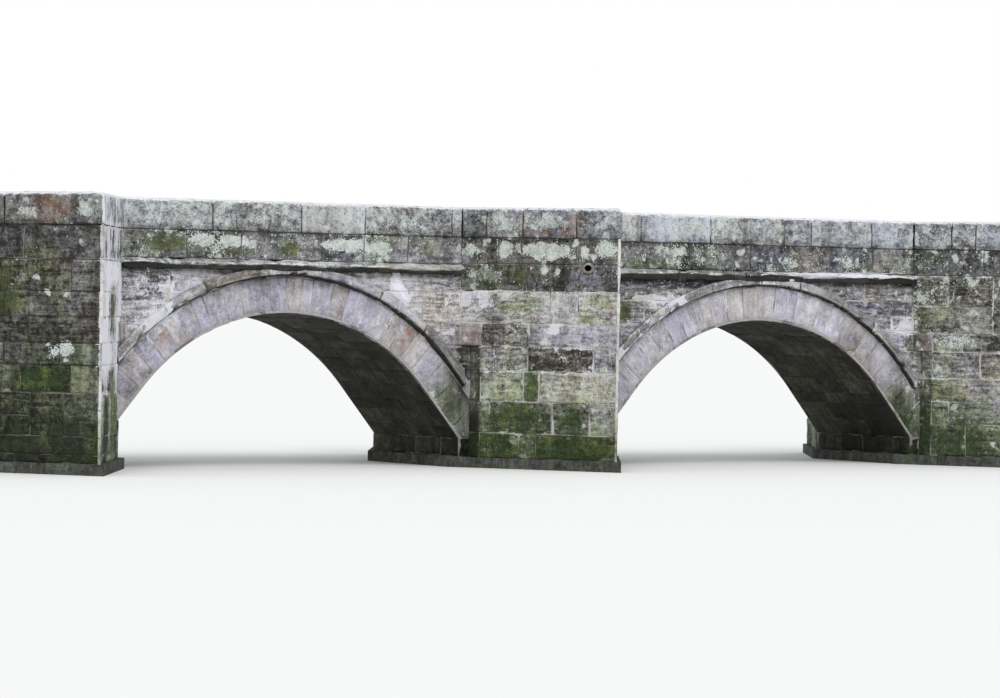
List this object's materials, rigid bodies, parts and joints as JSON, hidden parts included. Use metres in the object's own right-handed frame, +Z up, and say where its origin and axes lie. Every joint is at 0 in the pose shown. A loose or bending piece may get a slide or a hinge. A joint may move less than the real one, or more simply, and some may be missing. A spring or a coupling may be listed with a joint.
{
  "type": "stone arch bridge",
  "caption": "Low masonry footbridge of segmental arches on piers with pointed cutwaters that rise into triangular refuges beside a narrow parapeted walkway.",
  "frame": {"origin": "middle of the underside: midway along the bridge and midway between its two faces, level with the foot of the footings", "axes": "+X along the walkway, +Y from the face in the picture to the other face, +Z up"},
  "size_m": [22.6, 5.5212, 3.025],
  "materials": {
    "coping_stone": "weathered with pale lichen",
    "corbel_stone": "weathered",
    "cutwater_stone": "weathered, mossy",
    "fired_clay": "matt",
    "footing_stone": "wet, rough",
    "moulded_stone": "weathered",
    "parapet_stone": "weathered with lichen",
    "paving_stone": "worn",
    "pier_stone": "weathered, mossy",
    "refuge_stone": "weathered with lichen",
    "rubble_fill": "rough",
    "spandrel_stone": "eroded",
    "voussoir_stone": "weathered, tooled"
  },
  "bodies": {
    "root": {"arch_barrel_1": "voussoir_stone", "arch_barrel_2": "voussoir_stone", "arch_barrel_3": "voussoir_stone", "corbel_stones_back": "corbel_stone", "corbel_stones_front": "corbel_stone", "cutwaters_back": "cutwater_stone", "cutwaters_front": "cutwater_stone", "drain_pipe": "fired_clay", "drained_refuge_wall": "refuge_stone", "fill_1": "rubble_fill", "fill_2": "rubble_fill", "fill_3": "rubble_fill", "fill_4": "rubble_fill", "hood_moulds": "moulded_stone", "parapet_coping_back": "coping_stone", "parapet_coping_front": "coping_stone", "parapet_walls_back": "parapet_stone", "parapet_walls_front": "parapet_stone", "pier_1": "pier_stone", "pier_2": "pier_stone", "pier_3": "pier_stone", "pier_4": "pier_stone", "pier_footings": "footing_stone", "refuge_coping_back_left": "coping_stone", "refuge_coping_back_right": "coping_stone", "refuge_coping_front_left": "coping_stone", "refuge_coping_front_right": "coping_stone", "refuge_floors_back": "paving_stone", "refuge_floors_front": "paving_stone", "refuge_walls_back_left": "refuge_stone", "refuge_walls_back_right": "refuge_stone", "refuge_walls_front_left": "refuge_stone", "refuge_walls_front_right": "refuge_stone", "spandrel_walls_1": "spandrel_stone", "spandrel_walls_2": "spandrel_stone", "spandrel_walls_3": "spandrel_stone", "spandrel_walls_4": "spandrel_stone", "string_course_back": "moulded_stone", "string_course_front": "moulded_stone", "walkway_paving": "paving_stone"}
  },
  "joints": []
}
